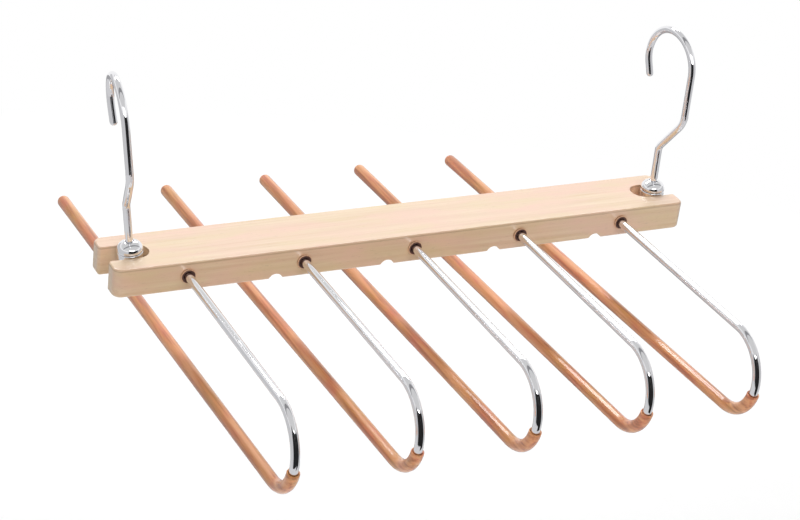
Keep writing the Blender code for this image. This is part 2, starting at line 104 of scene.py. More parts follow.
# The camera in the hanger's frame, at the photograph's angle
CAMERA_PLACE = (-0.4984, -0.8963, 0.420475)
CAMERA_AZIMUTH_DEGREES = -29.14
CAMERA_ELEVATION_DEGREES = 27.74
CAMERA_ROLL_DEGREES = 7.31
CAMERA_SENSOR_WIDTH = 36.0
CAMERA_FOCUS_PER_WIDTH = 2144.5 / 800

X_AXIS = np.array((1.0, 0.0, 0.0))
Y_AXIS = np.array((0.0, 1.0, 0.0))
Z_AXIS = np.array((0.0, 0.0, 1.0))


# Sizes and colours that a user may change


def metres(name, description, default):
    """A length that a user may set, shown to a hundredth of a millimetre."""
    return bpy.props.FloatProperty(
        name=name, description=description, default=default, unit="LENGTH", precision=5
    )


def degrees(name, description, angle):
    """An angle that a user may set, with its default given in degrees."""
    default = math.radians(angle)
    return bpy.props.FloatProperty(name=name, description=description, default=default, unit="ROTATION")


def paint(name, description, default):
    """A colour that a user may set, in linear values."""
    return bpy.props.FloatVectorProperty(name=name, description=description, default=default, subtype="COLOR")


def watts(name, description, default):
    """A lamp's power that a user may set."""
    return bpy.props.FloatProperty(name=name, description=description, default=default, unit="POWER")


class HangerBeamSizes(bpy.types.PropertyGroup):
    """Roundings and cuts of the wooden beam."""

    bottom_corner: metres("Bottom corner", "Radius of the ends' lower edge", 0.0015)
    top_corner: metres("Top corner", "Radius of the ends' upper edge", 0.0014)
    upright_corner: metres("Upright corner", "Radius of the upright corners", 0.0045)
    long_edge: metres("Long edge", "Radius of the long edges", 0.0009)
    cut_edge: metres("Cut edge", "Rounding of slots, holes and grooves", 0.00035)
    slot_width: metres("Slot width", "Width of a fork slot", 0.015)
    slot_depth: metres("Slot depth", "Depth of a fork slot", 0.0240)
    slot_mouth: metres("Slot mouth", "Rounding of a slot's mouth", 0.0018)
    groove_radius: metres("Groove radius", "Radius of a groove underneath", 0.0042)
    groove_depth: metres("Groove depth", "Depth of a groove underneath", 0.0028)
    groove_shoulder: metres("Groove shoulder", "Rounding of a groove's edges", 0.0012)


class HangerArmSizes(bpy.types.PropertyGroup):
    """Sizes of the swing arms, their sleeves and bushings."""

    wire_radius: metres("Wire radius", "Radius of the arm wire", 0.00225)
    loop_radius: metres("Loop radius", "Radius of the loop's centre line", 0.0227)
    loop_reach: metres("Loop reach", "From the beam's middle to the loop", 0.1375)
    tip_reach: metres("Tip reach", "From the beam's middle to the tip", 0.180)
    taper: degrees("Taper", "Fall of the lower leg", 1.8)
    sleeve_radius: metres("Sleeve radius", "Outer radius on the loop", 0.00325)
    sleeve_tip_radius: metres("Sleeve tip radius", "Outer radius at the tip", 0.0036)
    sleeve_bore: metres("Sleeve bore", "Inner radius of the sleeve", 0.0024)
    sleeve_start: degrees("Sleeve start", "Loop angle where it begins", 102.5)
    sleeve_end_wall: metres("Sleeve end wall", "Wall at the closed tip", 0.0012)
    bore_depth: metres("Bore depth", "Depth of an arm's bore", 0.0325)
    bushing_radius: metres("Bushing radius", "Outer radius of a bushing", 0.0034)
    bushing_length: metres("Bushing length", "Length inside the beam", 0.0056)
    flange_radius: metres("Flange radius", "Radius of a bushing's flange", 0.0040)
    flange_thickness: metres("Flange thickness", "Thickness of the flange", 0.0008)
    mouth_radius: metres("Mouth radius", "Radius of a bushing's flared mouth", 0.0030)
    collar_length: metres("Collar length", "Length of the collar behind it", 0.0014)


class HangerHookSizes(bpy.types.PropertyGroup):
    """Sizes of the swivels and hooks. Heights are measured from the pivot pin."""

    pin_radius: metres("Pin radius", "Radius of a pivot pin", 0.00175)
    block_radius: metres("Block radius", "Radius of a swivel block", 0.0067)
    block_top: metres("Block top", "Height of a block's top", 0.0080)
    pocket_radius: metres("Pocket radius", "Radius of a block's pocket", 0.0043)
    rim_height: metres("Rim height", "Height of a cap's rim", 0.0009)
    dome_height: metres("Dome height", "Height of a cap's dome", 0.0047)
    spigot_length: metres("Spigot length", "Depth of a cap in its block", 0.0016)
    wire_radius: metres("Wire radius", "Radius of the hook wire", 0.0020)
    jog_height: metres("Jog height", "Height where the stem bends aside", 0.0347)
    shoulder_height: metres("Shoulder height", "Height of the shoulder", 0.0567)
    jog: metres("Jog", "Sideways step of the stem", 0.0173)
    jog_bend: metres("Jog bend", "Radius of the lower bend", 0.006)
    shoulder_bend: metres("Shoulder bend", "Radius of the upper bend", 0.016)
    rise: metres("Rise", "From the shoulder to the crown", 0.028)
    crown_radius: metres("Crown radius", "Radius of the crown", 0.0189)
    crown_turn: degrees("Crown turn", "Angle where the crown ends", 200.0)
    tip_length: metres("Tip length", "Straight end after the crown", 0.006)
    left_turn: degrees("Left turn", "Turn of the left hook", -7.6)
    right_turn: degrees("Right turn", "Turn of the right hook", 5.7)


class HangerFinishes(bpy.types.PropertyGroup):
    """Colours of the hanger's materials, in linear values."""

    wood_pale: paint("Pale wood", "Wood between the rings", (0.91, 0.66, 0.425))
    wood_deep: paint("Deep wood", "Wood in the rings", (0.76, 0.46, 0.25))
    chrome: paint("Chrome", "Bright plated wire and swivels", (0.86, 0.86, 0.88))
    steel: paint("Steel", "Plain pins, washers and collars", (0.52, 0.52, 0.54))
    sleeve: paint("Sleeve", "Copper-coloured vinyl", (0.76, 0.265, 0.098))
    bushing: paint("Bushing", "Tan plastic bushings", (0.74, 0.43, 0.26))
    # The mouth colour is painted shade for the dark hollow round the arm wire
    painted_mouth_shade: paint("Bushing mouth", "Dark mouth of a bushing", (0.11, 0.045, 0.03))


class HangerStageSettings(bpy.types.PropertyGroup):
    """Floor and lights."""

    floor_drop: metres("Floor drop", "From the floor up to the origin", 0.56)
    key_power: watts("Key light", "Power of the panel overhead", 27.0)
    back_power: watts("Back light", "Power of the panel behind", 27.0)
    fill_power: watts("Fill light", "Power of the lamp on the loops' side", 8.5)
    ambient: bpy.props.FloatProperty(
        name="Ambient", description="Level of the light from all round", default=0.37, min=0.0, max=1.0
    )


# Surfaces


def skin(rings, start=None, end=None, closed=False, capped=False):
    """Points and faces over a grid of rings.

    Quads join each point to the next one round and the next one along. A start or end point closes that end
    with a fan, capped closes both ends with one flat face, and closed joins the last ring to the first.
    """
    count, sides = rings.shape[:2]
    points = [rings.reshape(-1, 3)]
    index = np.arange(count * sides).reshape(count, sides)
    here = index if closed else index[:-1]
    along = np.roll(index, -1, axis=0) if closed else index[1:]
    quads = np.stack((here, np.roll(here, -1, axis=1), np.roll(along, -1, axis=1), along), axis=-1)
    faces = quads.reshape(-1, 4).tolist()
    total = count * sides
    for pole, ring in ((start, index[0]), (end, index[-1])):
        if pole is not None:
            points.append(np.reshape(pole, (1, 3)))
            faces += np.stack((ring, np.roll(ring, -1), np.full(sides, total)), axis=-1).tolist()
            total += 1
        elif capped:
            faces.append(ring.tolist())
    return np.concatenate(points), faces


def sweep(centres, tangents, side, radii, sides):
    """Rings carried along a path that is square to side.

    A ring's point is centre + radius * (cos a * side + sin a * (tangent x side)), for a round the circle.
    One tangent or one radius may be given for the whole path.
    """
    angle = 2 * np.pi * np.arange(sides) / sides
    radii = np.broadcast_to(radii, len(centres))
    other = np.cross(np.broadcast_to(tangents, centres.shape), side)
    spread = np.cos(angle)[None, :, None] * side + np.sin(angle)[None, :, None] * other[:, None, :]
    return centres[:, None, :] + radii[:, None, None] * spread


def round_tip(centre, along, radius):
    """Rings and the last point of a half ball: radius * cos a wide, radius * sin a beyond the centre."""
    angle = np.linspace(0.0, np.pi / 2, TIP_STEPS + 1)[1:-1]
    centres = centre + along * (radius * np.sin(angle))[:, None]
    return sweep(centres, along, X_AXIS, radius * np.cos(angle), WIRE_SIDES), centre + along * radius


def lathe(profile, axis, sides):
    """Rings of a turned shape: each (radius, height) of the profile becomes a circle about the axis."""
    profile = np.asarray(profile)
    return sweep(profile[:, 1:2] * axis, axis, X_AXIS, profile[:, 0], sides)


def arc(centre, radius, start, end, steps):
    """Points of a plane arc: centre + radius * (cos a, sin a), with a in degrees from start to end."""
    angle = np.radians(np.linspace(start, end, steps + 1))
    return np.stack((centre[0] + radius * np.cos(angle), centre[1] + radius * np.sin(angle)), axis=1)


def prism(outline, low, high, axis):
    """Rings of a prism of a plane outline.

    Axis 1 stands it along Y over X and Z, and axis 2 stands it along Z over X and Y.
    """
    rings = np.zeros((2, len(outline), 3))
    rings[:, :, 0] = outline[:, 0]
    rings[:, :, 3 - axis] = outline[:, 1]
    rings[0, :, axis] = low
    rings[1, :, axis] = high
    return rings


def make_object(name, points, faces):
    """An object at the origin with its place in its mesh, faces outward, smooth but for sharp edges."""
    old = bpy.data.objects.get(name)
    if old is not None:
        bpy.data.objects.remove(old, do_unlink=True)
    mesh = bpy.data.meshes.new(name)
    mesh.from_pydata(points.tolist(), [], faces)
    bm = bmesh.new()
    bm.from_mesh(mesh)
    bmesh.ops.recalc_face_normals(bm, faces=bm.faces)
    bm.to_mesh(mesh)
    bm.free()
    mesh.shade_smooth()
    mesh.set_sharp_from_angle(angle=SHARP_ANGLE)
    made = bpy.data.objects.new(name, mesh)
    bpy.context.scene.collection.objects.link(made)
    return made


def paint_inside(piece, material, place, radius):
    """Give the faces that lie nearer than a radius to a line along Y their own material."""
    piece.data.materials.append(material)
    centres = np.empty(len(piece.data.polygons) * 3)
    piece.data.polygons.foreach_get("center", centres)
    away = centres.reshape(-1, 3) - place
    inside = np.hypot(away[:, 0], away[:, 2]) < radius
    piece.data.polygons.foreach_set("material_index", inside.astype(np.int32))


def finish_piece(piece, material, slot, body, *nodes):
    """Give a piece its material, let a body carry it, and let it stand for the CAD nodes named."""
    piece.data.materials.clear()
    piece.data.materials.append(material)
    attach(piece, body)
    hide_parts(*nodes)


def dress(node, points, faces, material, slot, body):
    """Make the finished piece that stands for a CAD node."""
    piece = make_object(node + "_finish", points, faces)
    finish_piece(piece, material, slot, body, node)
    return piece


def dress_arms(part, surface, material, slot):
    """Put a surface that is made round the origin on every arm."""
    points, faces = surface
    for name in ARMS:
        place = JOINTS[name + "_swing"]["pos_m"]
        dress(name + part, points + place, faces, material, slot, name)


def carve(target, cutters):
    """Take closed shapes out of a piece, keep the result as its mesh, and remove the shapes."""
    for cutter in cutters:
        modifier = target.modifiers.new(cutter.name, "BOOLEAN")
        modifier.operation = "DIFFERENCE"
        modifier.object = cutter
    bake(target)
    for cutter in cutters:
        bpy.data.objects.remove(cutter, do_unlink=True)


def bake(target):
    """Keep what a piece's modifiers make as its mesh, and take them off."""
    bpy.context.view_layer.update()
    graph = bpy.context.evaluated_depsgraph_get()
    mesh = bpy.data.meshes.new_from_object(target.evaluated_get(graph), depsgraph=graph)
    old = target.data
    target.modifiers.clear()
    target.data = mesh
    bpy.data.meshes.remove(old)
    mesh.name = target.name


# Materials


def set_values(node, values):
    """Set a node's unlinked sockets by name."""
    for name, value in values.items():
        node.inputs[name].default_value = value


def add_node(tree, kind, inputs=None, **settings):
    """A node with its settings and the values of its unlinked sockets."""
    made = tree.nodes.new(kind)
    for name, value in settings.items():
        setattr(made, name, value)
    set_values(made, inputs or {})
    return made


def new_material(name, colour, roughness, metallic=0.0):
    """A material of that name, made again if it is there, with its principled shader set to plain values."""
    made = bpy.data.materials.get(name) or bpy.data.materials.new(name)
    made.use_nodes = True
    tree = made.node_tree
    tree.nodes.clear()
    shader = tree.nodes.new("ShaderNodeBsdfPrincipled")
    output = tree.nodes.new("ShaderNodeOutputMaterial")
    tree.links.new(shader.outputs["BSDF"], output.inputs["Surface"])
    set_values(shader, {"Base Color": (*colour, 1.0), "Roughness": roughness, "Metallic": metallic})
    return made, tree, shader


def object_place(tree, scale, move=(0.0, 0.0, 0.0)):
    """Object coordinates, scaled along X, Y and Z and then moved."""
    place = add_node(tree, "ShaderNodeTexCoord")
    mapping = add_node(tree, "ShaderNodeMapping", {"Location": move, "Scale": scale})
    tree.links.new(place.outputs["Object"], mapping.inputs["Vector"])
    return mapping.outputs["Vector"]


def distance_of(tree, vector):
    """How long a vector is."""
    length = add_node(tree, "ShaderNodeVectorMath", operation="LENGTH")
    tree.links.new(vector, length.inputs[0])
    return length.outputs["Value"]


def height_of(tree, coordinates):
    """The Z part of one of the coordinate sets, Object or Generated."""
    place = add_node(tree, "ShaderNodeTexCoord")
    split = add_node(tree, "ShaderNodeSeparateXYZ")
    tree.links.new(place.outputs[coordinates], split.inputs["Vector"])
    return split.outputs["Z"]


def stretched_noise(tree, scale, detail=3.0, roughness=0.55):
    """Noise in object coordinates with its own scale along X, Y and Z, as streaks or grains."""
    noise = add_node(tree, "ShaderNodeTexNoise", {"Scale": 1.0, "Detail": detail, "Roughness": roughness})
    tree.links.new(object_place(tree, scale), noise.inputs["Vector"])
    return noise.outputs["Fac"]


def remap(tree, value, low, high, to_low=0.0, to_high=1.0):
    """A value moved from one range to another and kept inside it."""
    inputs = {"From Min": low, "From Max": high, "To Min": to_low, "To Max": to_high}
    made = add_node(tree, "ShaderNodeMapRange", inputs)
    tree.links.new(value, made.inputs["Value"])
    return made.outputs["Result"]


def mixed(tree, factor, first, second, blend="MIX"):
    """Two colours mixed by a factor. Each may be a colour or another node's output."""
    made = add_node(tree, "ShaderNodeMix", data_type="RGBA", blend_type=blend)
    tree.links.new(factor, made.inputs["Factor"])
    for name, colour in (("A", first), ("B", second)):
        socket = next(s for s in made.inputs if s.name == name and s.type == "RGBA")
        if isinstance(colour, bpy.types.NodeSocket):
            tree.links.new(colour, socket)
        else:
            socket.default_value = (*colour, 1.0)
    return next(s for s in made.outputs if s.type == "RGBA")


def tinted(tree, colour, value, low, high, most, tint):
    """A colour turned toward a tint by up to a share as a value goes from low to high."""
    return mixed(tree, remap(tree, value, low, high, 0.0, most), colour, tint)


def roughened(tree, shader, value, low, high):
    """Let a value between 0.3 and 0.7 set the roughness from low to high."""
    tree.links.new(remap(tree, value, 0.3, 0.7, low, high), shader.inputs["Roughness"])


def bumped(tree, shader, height, distance, strength):
    """Let a height lift the surface by up to a distance."""
    bump = add_node(tree, "ShaderNodeBump", {"Distance": distance, "Strength": strength})
    tree.links.new(height, bump.inputs["Height"])
    tree.links.new(bump.outputs["Normal"], shader.inputs["Normal"])


def calculated(tree, operation, first, second=None):
    """A sum or another function of one or two values, each a number or another node's output."""
    made = add_node(tree, "ShaderNodeMath", operation=operation)
    for socket, value in zip(made.inputs, (first, second)):
        if isinstance(value, bpy.types.NodeSocket):
            tree.links.new(value, socket)
        elif value is not None:
            socket.default_value = value
    return made.outputs["Value"]


def growth_rings(tree, pith_y, pith_z, spacing):
    """Rings about a line along X: the sine of the distance from it, bent by slow noise along the plank."""
    away = distance_of(tree, object_place(tree, (0.0, 1.0, 1.0), (0.0, -pith_y, -pith_z)))
    wander = stretched_noise(tree, (5.0, 30.0, 30.0), 2.0)
    shifted = calculated(tree, "ADD", away, calculated(tree, "MULTIPLY", wander, 3.0 * spacing))
    wave = calculated(tree, "SINE", calculated(tree, "MULTIPLY", shifted, 2 * math.pi / spacing))
    return remap(tree, wave, -1.0, 1.0)


def wood_material(finishes, long_edge):
    """Pale varnished wood, grained along X: rings, fibres, flecks, patches and a painted shade line just
    below the long edge.
    """
    made, tree, shader = new_material("varnished_wood_finish", finishes.wood_pale, 0.42)
    beam_middle = (BEAM_LOW[2] + BEAM_HIGH[2]) / 2
    rings = growth_rings(tree, 0.021, beam_middle - 0.055, 0.0034)
    fibres = stretched_noise(tree, (14.0, 900.0, 900.0), 4.0, 0.6)
    patches = stretched_noise(tree, (22.0, 60.0, 60.0), 2.0)
    shade = stretched_noise(tree, (30.0, 110.0, 110.0), 2.0, 0.5)
    flecks = stretched_noise(tree, (260.0, 2600.0, 2600.0), 2.0, 0.5)
    pale = tuple(finishes.wood_pale)
    deep = tuple(finishes.wood_deep)
    colour = mixed(tree, calculated(tree, "MULTIPLY", rings, 0.34), pale, deep)
    colour = tinted(tree, colour, fibres, 0.42, 0.72, 0.65, deep)
    rosy = (pale[0], pale[1] * 0.86, pale[2] * 0.94)
    colour = tinted(tree, colour, patches, 0.38, 0.62, 0.85, rosy)
    golden = (pale[0] * 0.93, pale[1] * 0.95, pale[2] * 0.78)
    colour = tinted(tree, colour, shade, 0.45, 0.7, 0.6, golden)
    dark = tuple(0.62 * value for value in deep)
    colour = tinted(tree, colour, flecks, 0.66, 0.74, 0.36, dark)
    # Painted shade: a dark line on the side just below the rounded long edge
    below_top = calculated(tree, "SUBTRACT", BEAM_HIGH[2] - long_edge, height_of(tree, "Object"))
    line = remap(tree, below_top, 0.0, 0.0007, 1.0, 0.0)
    on_side = remap(tree, below_top, -0.0004, -0.0001)
    painted_edge_shade = calculated(tree, "MULTIPLY", calculated(tree, "MULTIPLY", line, on_side), 0.55)
    colour = mixed(tree, painted_edge_shade, colour, dark)
    tree.links.new(colour, shader.inputs["Base Color"])
    roughened(tree, shader, fibres, 0.36, 0.50)
    set_values(shader, {"Coat Weight": 1.0, "Coat IOR": 1.75, "Coat Roughness": 0.2})
    bumped(tree, shader, calculated(tree, "ADD", fibres, flecks), 0.00002, 0.6)
    return made


def chrome_material(finishes):
    """Bright plating: a mirror with a faint, uneven haze."""
    made, tree, shader = new_material("bright_chrome_finish", finishes.chrome, 0.05, 1.0)
    haze = stretched_noise(tree, (160.0, 160.0, 160.0), 3.0)
    tree.links.new(remap(tree, haze, 0.35, 0.7, 0.035, 0.085), shader.inputs["Roughness"])
    ripple = stretched_noise(tree, (420.0, 420.0, 420.0), 1.0)
    bumped(tree, shader, ripple, 0.000004, 0.5)
    return made


def steel_material(finishes):
    """Plain turned steel: satin, with fine tool marks."""
    made, tree, shader = new_material("plain_steel_finish", finishes.steel, 0.3, 1.0)
    marks = stretched_noise(tree, (900.0, 4200.0, 900.0), 2.0)
    roughened(tree, shader, marks, 0.24, 0.42)
    bumped(tree, shader, marks, 0.000008, 0.6)
    return made


def sleeve_material(finishes):
    """Copper-coloured vinyl: satin, with pink and golden shifts, long pale and deep streaks that paint
    highlights and shade, and an orange-peel skin.
    """
    made, tree, shader = new_material("copper_sleeve_finish", finishes.sleeve, 0.34)
    base = tuple(finishes.sleeve)
    golden = (base[0] * 0.98, base[1] * 1.30, base[2] * 1.1)
    rosy = (base[0] * 1.03, base[1] * 0.88, base[2] * 1.25)
    shifts = stretched_noise(tree, (60.0, 38.0, 60.0), 2.0)
    colour = mixed(tree, remap(tree, shifts, 0.35, 0.65), golden, rosy)
    # Painted light: pale streaks are painted highlights and deep streaks painted shade along the sleeve
    highlight_and_shade_streaks = stretched_noise(tree, (380.0, 14.0, 380.0), 2.0)
    bright = (base[0] * 1.20, base[1] * 1.60, base[2] * 1.9)
    deep = (base[0] * 0.66, base[1] * 0.60, base[2] * 0.62)
    colour = tinted(tree, colour, highlight_and_shade_streaks, 0.48, 0.62, 0.9, bright)
    colour = tinted(tree, colour, highlight_and_shade_streaks, 0.48, 0.36, 0.75, deep)
    tree.links.new(colour, shader.inputs["Base Color"])
    skin_noise = stretched_noise(tree, (1300.0, 900.0, 1300.0), 2.0)
    roughened(tree, shader, skin_noise, 0.28, 0.38)
    set_values(shader, {"Specular IOR Level": 0.2, "Coat Weight": 0.85, "Coat Roughness": 0.1})
    bumped(tree, shader, skin_noise, 0.00001, 0.5)
    return made


def bushing_material(name, colour):
    """Moulded plastic with a faint grain, also used for the painted shade in a bushing's mouth."""
    made, tree, shader = new_material(name, colour, 0.45)
    grain = stretched_noise(tree, (1600.0, 1600.0, 1600.0), 2.0)
    base = tuple(colour)
    colour = mixed(tree, grain, tuple(0.8 * value for value in base), tuple(1.3 * value for value in base))
    tree.links.new(colour, shader.inputs["Base Color"])
    roughened(tree, shader, grain, 0.38, 0.55)
    bumped(tree, shader, grain, 0.00001, 0.5)
    return made


# Beam


def edge_inset(height, low, high, below, above):
    """How far a side steps back at each height: radius - sqrt(radius^2 - reach^2) inside a rounded edge."""
    radius = np.where(height < (low + high) / 2, below, above)
    reach = np.maximum(low + below - height, height - high + above)
    reach = np.clip(reach, 0.0, radius)
    return radius - np.sqrt(radius**2 - reach**2)


def beam_rings(sizes):
    """Outlines of the bare beam at rising heights: round-cornered rectangles that draw in at the edges."""
    low, high = BEAM_LOW[2], BEAM_HIGH[2]
    angle = np.radians(np.linspace(0.0, 90.0, CORNER_STEPS + 1))
    heights = [low, high]
    for below, above in ((sizes.bottom_corner, sizes.top_corner), (sizes.long_edge, sizes.long_edge)):
        heights += (low + below - below * np.cos(angle[1:])).tolist()
        heights += (high - above + above * np.cos(angle[1:])).tolist()
    height = np.unique(np.round(heights, 8))
    side = edge_inset(height, low, high, sizes.long_edge, sizes.long_edge)
    corner = sizes.upright_corner - side
    x = BEAM_HIGH[0] - edge_inset(height, low, high, sizes.bottom_corner, sizes.top_corner) - corner
    y = BEAM_HIGH[1] - side - corner
    rings = []
    for quarter, (across, aside) in enumerate(((1, 1), (-1, 1), (-1, -1), (1, -1))):
        turn = angle + quarter * math.pi / 2
        ring_x = across * x[:, None] + corner[:, None] * np.cos(turn)
        ring_y = aside * y[:, None] + corner[:, None] * np.sin(turn)
        rings.append(np.stack((ring_x, ring_y, np.repeat(height[:, None], len(turn), axis=1)), axis=-1))
    return np.concatenate(rings, axis=1)


def slot_outline(sizes, direction):
    """A fork slot from above: a flared mouth at the end, straight sides and a half-round inner end."""
    end = BEAM_HIGH[0]
    radius = sizes.slot_width / 2
    flare = sizes.slot_mouth
    mouth = arc((end - flare, -radius - flare), flare, 0.0, 90.0, 6)
    inner = arc((end - sizes.slot_depth + radius, 0.0), radius, -90.0, -270.0, 40)
    outer = np.array(((end + radius, -radius - flare),))
    lower = np.concatenate((outer, mouth))
    upper = lower[::-1] * (1.0, -1.0)
    return np.concatenate((lower, inner, upper)) * (direction, 1.0)


def arm_drop(arm):
    """From the upper leg down to the lower leg at the beam's middle."""
    turn = math.pi - arm.taper
    end_y = -arm.loop_reach - arm.loop_radius * math.sin(turn)
    end_z = arm.loop_radius * math.cos(turn) - arm.loop_radius
    return -(end_z + end_y * math.tan(arm.taper))


def groove_outline(sizes, centre_x):
    """A groove from the front: an arc, with its shoulders rounded by arcs that run out into the underside."""
    bottom = BEAM_LOW[2]
    radius = sizes.groove_radius
    shoulder = sizes.groove_shoulder
    centre_z = bottom + sizes.groove_depth - radius
    height = bottom + shoulder - centre_z
    reach = math.sqrt((radius + shoulder) ** 2 - height**2)
    angle = math.degrees(math.atan2(height, reach))
    arch = arc((centre_x, centre_z), radius, angle, 180.0 - angle, 24)
    left = arc((centre_x - reach, bottom + shoulder), shoulder, -angle, -90.0, 8)
    right = arc((centre_x + reach, bottom + shoulder), shoulder, -90.0, angle - 180.0, 8)
    below = np.array(((centre_x - reach, bottom - radius), (centre_x + reach, bottom - radius)))
    return np.concatenate((arch, left, below, right))


def beam_cutters(sizes, arm, hook):
    """Everything that is cut out of the bare beam: slots, pin holes, stepped bores and grooves."""
    cutters = []
    width = BEAM_HIGH[1] - BEAM_LOW[1]
    for side, direction in (("left", -1), ("right", 1)):
        slot = prism(slot_outline(sizes, direction), BEAM_LOW[2] - width, BEAM_HIGH[2] + width, 2)
        cutters.append(make_object(side + "_slot_cutter", *skin(slot, capped=True)))
        pin = Vector(JOINTS[side + "_hook_tilt"]["pos_m"])
        hole_radius = hook.pin_radius + SET_GAP
        blind = BEAM_LOW[1] + PIN_BLIND_WALL
        profile = ((hole_radius, blind), (hole_radius, width))
        points, faces = skin(lathe(profile, Y_AXIS, WIRE_SIDES), capped=True)
        cutters.append(make_object(side + "_pin_cutter", points + (pin.x, 0.0, pin.z), faces))
    wide = arm.bushing_radius + SET_GAP
    narrow = arm.wire_radius + RUN_GAP
    front = BEAM_LOW[1]
    step = front + arm.bushing_length + arm.collar_length + 2 * SET_GAP
    profile = ((wide, front - width / 4), (wide, step), (narrow, step), (narrow, front + arm.bore_depth))
    for name in ARMS:
        place = Vector(JOINTS[name + "_swing"]["pos_m"])
        points, faces = skin(lathe(profile, Y_AXIS, BORE_SIDES), capped=True)
        cutters.append(make_object(name + "_bore_cutter", points + (place.x, 0.0, place.z), faces))
    for name in ARMS[:-1]:
        place = Vector(JOINTS[name + "_swing"]["pos_m"])
        fold = math.radians(JOINTS[name + "_swing"]["range_deg"][1])
        groove = prism(groove_outline(sizes, place.x + arm_drop(arm) * math.sin(fold)), -width, width, 1)
        cutters.append(make_object(name + "_groove_cutter", *skin(groove, capped=True)))
    return cutters


class HANGER_OT_beam(bpy.types.Operator):
    """Make the wooden beam with its fork slots, bores and grooves"""

    bl_idname = "hanger.beam"
    bl_label = "Beam"

    def execute(self, context):
        scene = context.scene
        sizes = scene.hanger_beam
        beam = make_object("beam_finish", *skin(beam_rings(sizes), capped=True))
        carve(beam, beam_cutters(sizes, scene.hanger_arms, scene.hanger_hooks))
        edges = beam.modifiers.new("cut_edges", "BEVEL")
        edges.width = sizes.cut_edge
        edges.segments = 2
        edges.limit_method = "ANGLE"
        edges.angle_limit = SHARP_ANGLE
        beam.modifiers.new("even_shading", "WEIGHTED_NORMAL").keep_sharp = True
        bake(beam)
        wood = wood_material(scene.hanger_finishes, sizes.long_edge)
        finish_piece(beam, wood, "varnished_wood", "beam", "beam")
        return {"FINISHED"}


# Arms


def arm_path(arm, first, gap):
    """Centres and tangents along an arm, from an angle of its loop to a gap before its tip.

    With the loop's angle a, y = -reach - R sin a and z = R cos a - R; then a straight leg to the tip.
    """
    angle = np.linspace(first, math.pi - arm.taper, LOOP_STEPS + 1)
    zeros = np.zeros_like(angle)
    y = -arm.loop_reach - arm.loop_radius * np.sin(angle)
    z = arm.loop_radius * np.cos(angle) - arm.loop_radius
    centres = np.stack((zeros, y, z), axis=1)
    tangents = np.stack((zeros, -np.cos(angle), -np.sin(angle)), axis=1)
    run = (arm.tip_reach - y[-1]) / tangents[-1, 1] - gap
    legs = np.linspace(0.0, run, LEG_STEPS + 1)[1:, None]
    centres = np.concatenate((centres, centres[-1] + legs * tangents[-1]))
    tangents = np.concatenate((tangents, np.repeat(tangents[-1:], len(legs), axis=0)))
    return centres, tangents


def arm_wire(arm):
    """Points and faces of an arm's wire: a round bar from its bore's blind end into the sleeve's tip."""
    centres, tangents = arm_path(arm, 0.0, arm.sleeve_end_wall + SET_GAP)
    back = BEAM_LOW[1] + arm.bore_depth - SET_GAP
    legs = np.linspace(back, -arm.loop_reach, UPPER_LEG_STEPS + 1)[:-1]
    upper = np.stack((np.zeros_like(legs), legs, np.zeros_like(legs)), axis=1)
    centres = np.concatenate((upper, centres))
    tangents = np.concatenate((np.repeat(-Y_AXIS[None, :], len(upper), axis=0), tangents))
    rings = sweep(centres, tangents, X_AXIS, arm.wire_radius, WIRE_SIDES)
    return skin(rings, start=centres[0], end=centres[-1])


def arm_sleeve(arm):
    """Points and faces of a sleeve: bore from its closed end out, a rounded lip, the skin and a round tip.

    The skin keeps its radius round the loop and widens evenly along the straight leg.
    """
    lip = (arm.sleeve_radius - arm.sleeve_bore) / 2
    bore, bore_along = arm_path(arm, arm.sleeve_start, arm.sleeve_end_wall)
    outer, outer_along = arm_path(arm, arm.sleeve_start, arm.sleeve_tip_radius)
    inner = sweep(bore[::-1], bore_along[::-1], X_AXIS, arm.sleeve_bore, WIRE_SIDES)
    angle = np.linspace(0.0, np.pi, 8)[1:-1]
    lip_centres = outer[0] - outer_along[0] * (lip * np.sin(angle))[:, None]
    lip_radii = arm.sleeve_bore + lip - lip * np.cos(angle)
    lip_rings = sweep(lip_centres, outer_along[0], X_AXIS, lip_radii, WIRE_SIDES)
    widening = np.linspace(arm.sleeve_radius, arm.sleeve_tip_radius, LEG_STEPS + 1)[1:]
    radii = np.concatenate((np.full(len(outer) - LEG_STEPS, arm.sleeve_radius), widening))
    body = sweep(outer, outer_along, X_AXIS, radii, WIRE_SIDES)
    tip_rings, tip = round_tip(outer[-1], outer_along[-1], arm.sleeve_tip_radius)
    rings = np.concatenate((inner, lip_rings, body, tip_rings))
    return skin(rings, start=bore[-1], end=tip)


def bushing(arm):
    """Points and faces of a flanged bushing: a closed profile turned about Y, with a flared mouth."""
    bore = arm.wire_radius + RUN_GAP
    face = BEAM_LOW[1] - SET_GAP
    front = face - arm.flange_thickness
    half = arm.flange_thickness / 2
    flare = arm.mouth_radius - bore
    profile = [
        arc((arm.mouth_radius, front + flare), flare, 180.0, 270.0, 8),
        arc((arm.flange_radius - half, front + half), half, -90.0, 90.0, 12),
        np.array(((arm.bushing_radius, face), (arm.bushing_radius, BEAM_LOW[1] + arm.bushing_length))),
        np.array(((bore, BEAM_LOW[1] + arm.bushing_length),)),
    ]
    return skin(lathe(np.concatenate(profile), Y_AXIS, ROUND_SIDES), closed=True)


class HANGER_OT_arm_wires(bpy.types.Operator):
    """Make the five chromed arm wires"""

    bl_idname = "hanger.arm_wires"
    bl_label = "Arm wires"

    def execute(self, context):
        chrome = chrome_material(context.scene.hanger_finishes)
        dress_arms("_wire", arm_wire(context.scene.hanger_arms), chrome, "bright_chrome")
        return {"FINISHED"}


class HANGER_OT_arm_sleeves(bpy.types.Operator):
    """Make the five sleeves on the lower legs"""

    bl_idname = "hanger.arm_sleeves"
    bl_label = "Arm sleeves"

    def execute(self, context):
        vinyl = sleeve_material(context.scene.hanger_finishes)
        dress_arms("_sleeve", arm_sleeve(context.scene.hanger_arms), vinyl, "copper_sleeve")
        return {"FINISHED"}


